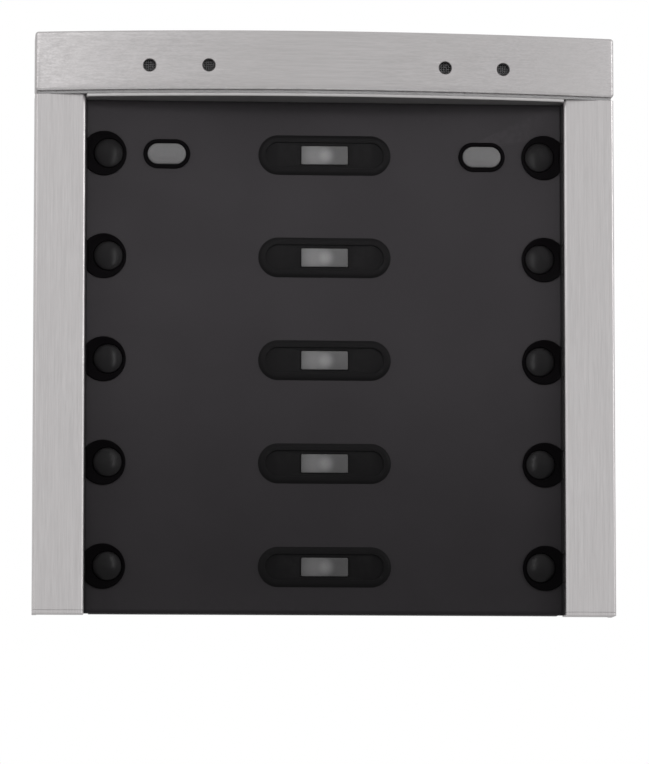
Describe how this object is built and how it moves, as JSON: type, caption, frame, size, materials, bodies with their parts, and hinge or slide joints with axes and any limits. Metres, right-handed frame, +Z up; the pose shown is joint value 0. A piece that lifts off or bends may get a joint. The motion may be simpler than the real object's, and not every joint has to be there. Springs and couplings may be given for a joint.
{
  "type": "door intercom panel",
  "caption": "Flush-mounted door intercom panel: brushed metal frame and bowed header, dark face plate, spring-return call buttons, lit name windows, service buttons and a back box.",
  "frame": {"origin": "middle of the four wall-fixing holes, on the outer back face of the flush box", "axes": "+Z up, +X to a visitor's right, front faces -Y, so +Y points into the wall"},
  "size_m": [0.24, 0.0673, 0.24],
  "materials": {
    "brushed_header": "satin anodised, brushed along the bar",
    "brushed_rail": "satin anodised, brushed along the rail",
    "brushed_trim": "satin anodised",
    "charcoal_plate": "fine satin powder coat",
    "black_bezel": "fine satin",
    "black_button": "semi-gloss",
    "window_black": "fine spark texture",
    "smoked_lens": "frosted translucent",
    "grey_button": "satin",
    "black_rubber": "matt",
    "joint_seal": "matt",
    "black_mesh": "matt woven mesh",
    "galvanised_box": "galvanised sheet",
    "zinc_sheet": "zinc plated sheet",
    "zinc_screws": "zinc plated",
    "foam_seal": "closed-cell foam",
    "cover_plastic": "moulded",
    "speaker_frame": "moulded frame, paper cone",
    "nickel_capsule": "bright can",
    "board_laminate": "solder resist",
    "brass_pillars": "turned",
    "led_white": "moulded lens",
    "terminal_green": "moulded",
    "grey_silicone": "silicone",
    "name_card": "matt card"
  },
  "bodies": {
    "panel": {"flush_box": "galvanised_box", "cable_grommet": "black_rubber", "wall_seal": "foam_seal", "chassis_frame": "zinc_sheet", "rear_cover": "cover_plastic", "cover_screws": "zinc_screws", "box_screws": "zinc_screws", "frame_screws": "zinc_screws", "header_bar": "brushed_header", "header_gasket": "joint_seal", "top_trim_strip": "brushed_trim", "left_rail": "brushed_rail", "right_rail": "brushed_rail", "left_rail_end_cap": "brushed_rail", "right_rail_end_cap": "brushed_rail", "face_plate": "charcoal_plate", "plate_pillars": "brass_pillars", "plate_gasket": "black_rubber", "speaker_mesh": "black_mesh", "microphone_mesh": "black_mesh", "speech_carrier": "cover_plastic", "loudspeaker": "speaker_frame", "microphone_boot": "black_rubber", "microphone_capsule": "nickel_capsule", "main_board": "board_laminate", "board_standoffs": "brass_pillars", "board_screws": "zinc_screws", "backlight_leds": "led_white", "terminal_block": "terminal_green", "left_keypad_mat": "grey_silicone", "right_keypad_mat": "grey_silicone", "left_button_bezels": "black_bezel", "right_button_bezels": "black_bezel", "name_cards": "name_card", "left_service_bezel": "black_bezel", "right_service_bezel": "black_bezel", "window_housing_1": "window_black", "window_housing_2": "window_black", "window_housing_3": "window_black", "window_housing_4": "window_black", "window_housing_5": "window_black", "window_lens_1": "smoked_lens", "window_lens_2": "smoked_lens", "window_lens_3": "smoked_lens", "window_lens_4": "smoked_lens", "window_lens_5": "smoked_lens"},
    "call_button_left_1": {"call_button_left_1": "black_button"},
    "call_button_left_2": {"call_button_left_2": "black_button"},
    "call_button_left_3": {"call_button_left_3": "black_button"},
    "call_button_left_4": {"call_button_left_4": "black_button"},
    "call_button_left_5": {"call_button_left_5": "black_button"},
    "call_button_right_1": {"call_button_right_1": "black_button"},
    "call_button_right_2": {"call_button_right_2": "black_button"},
    "call_button_right_3": {"call_button_right_3": "black_button"},
    "call_button_right_4": {"call_button_right_4": "black_button"},
    "call_button_right_5": {"call_button_right_5": "black_button"},
    "left_service_button": {"left_service_button": "grey_button"},
    "right_service_button": {"right_service_button": "grey_button"}
  },
  "joints": [
    {"name": "press_call_button_left_1", "type": "slide", "parent": "panel", "child": "call_button_left_1", "axis": [0, 1, 0], "range_m": [0, 0.0012], "stiffness_N_per_m": 800, "springref_m": -0.001, "deforming": ["left_keypad_mat"]},
    {"name": "press_call_button_left_2", "type": "slide", "parent": "panel", "child": "call_button_left_2", "axis": [0, 1, 0], "range_m": [0, 0.0012], "stiffness_N_per_m": 800, "springref_m": -0.001, "deforming": ["left_keypad_mat"]},
    {"name": "press_call_button_left_3", "type": "slide", "parent": "panel", "child": "call_button_left_3", "axis": [0, 1, 0], "range_m": [0, 0.0012], "stiffness_N_per_m": 800, "springref_m": -0.001, "deforming": ["left_keypad_mat"]},
    {"name": "press_call_button_left_4", "type": "slide", "parent": "panel", "child": "call_button_left_4", "axis": [0, 1, 0], "range_m": [0, 0.0012], "stiffness_N_per_m": 800, "springref_m": -0.001, "deforming": ["left_keypad_mat"]},
    {"name": "press_call_button_left_5", "type": "slide", "parent": "panel", "child": "call_button_left_5", "axis": [0, 1, 0], "range_m": [0, 0.0012], "stiffness_N_per_m": 800, "springref_m": -0.001, "deforming": ["left_keypad_mat"]},
    {"name": "press_call_button_right_1", "type": "slide", "parent": "panel", "child": "call_button_right_1", "axis": [0, 1, 0], "range_m": [0, 0.0012], "stiffness_N_per_m": 800, "springref_m": -0.001, "deforming": ["right_keypad_mat"]},
    {"name": "press_call_button_right_2", "type": "slide", "parent": "panel", "child": "call_button_right_2", "axis": [0, 1, 0], "range_m": [0, 0.0012], "stiffness_N_per_m": 800, "springref_m": -0.001, "deforming": ["right_keypad_mat"]},
    {"name": "press_call_button_right_3", "type": "slide", "parent": "panel", "child": "call_button_right_3", "axis": [0, 1, 0], "range_m": [0, 0.0012], "stiffness_N_per_m": 800, "springref_m": -0.001, "deforming": ["right_keypad_mat"]},
    {"name": "press_call_button_right_4", "type": "slide", "parent": "panel", "child": "call_button_right_4", "axis": [0, 1, 0], "range_m": [0, 0.0012], "stiffness_N_per_m": 800, "springref_m": -0.001, "deforming": ["right_keypad_mat"]},
    {"name": "press_call_button_right_5", "type": "slide", "parent": "panel", "child": "call_button_right_5", "axis": [0, 1, 0], "range_m": [0, 0.0012], "stiffness_N_per_m": 800, "springref_m": -0.001, "deforming": ["right_keypad_mat"]},
    {"name": "press_left_service_button", "type": "slide", "parent": "panel", "child": "left_service_button", "axis": [0, 1, 0], "range_m": [0, 0.0012], "stiffness_N_per_m": 800, "springref_m": -0.001, "deforming": ["left_keypad_mat"]},
    {"name": "press_right_service_button", "type": "slide", "parent": "panel", "child": "right_service_button", "axis": [0, 1, 0], "range_m": [0, 0.0012], "stiffness_N_per_m": 800, "springref_m": -0.001, "deforming": ["right_keypad_mat"]}
  ]
}
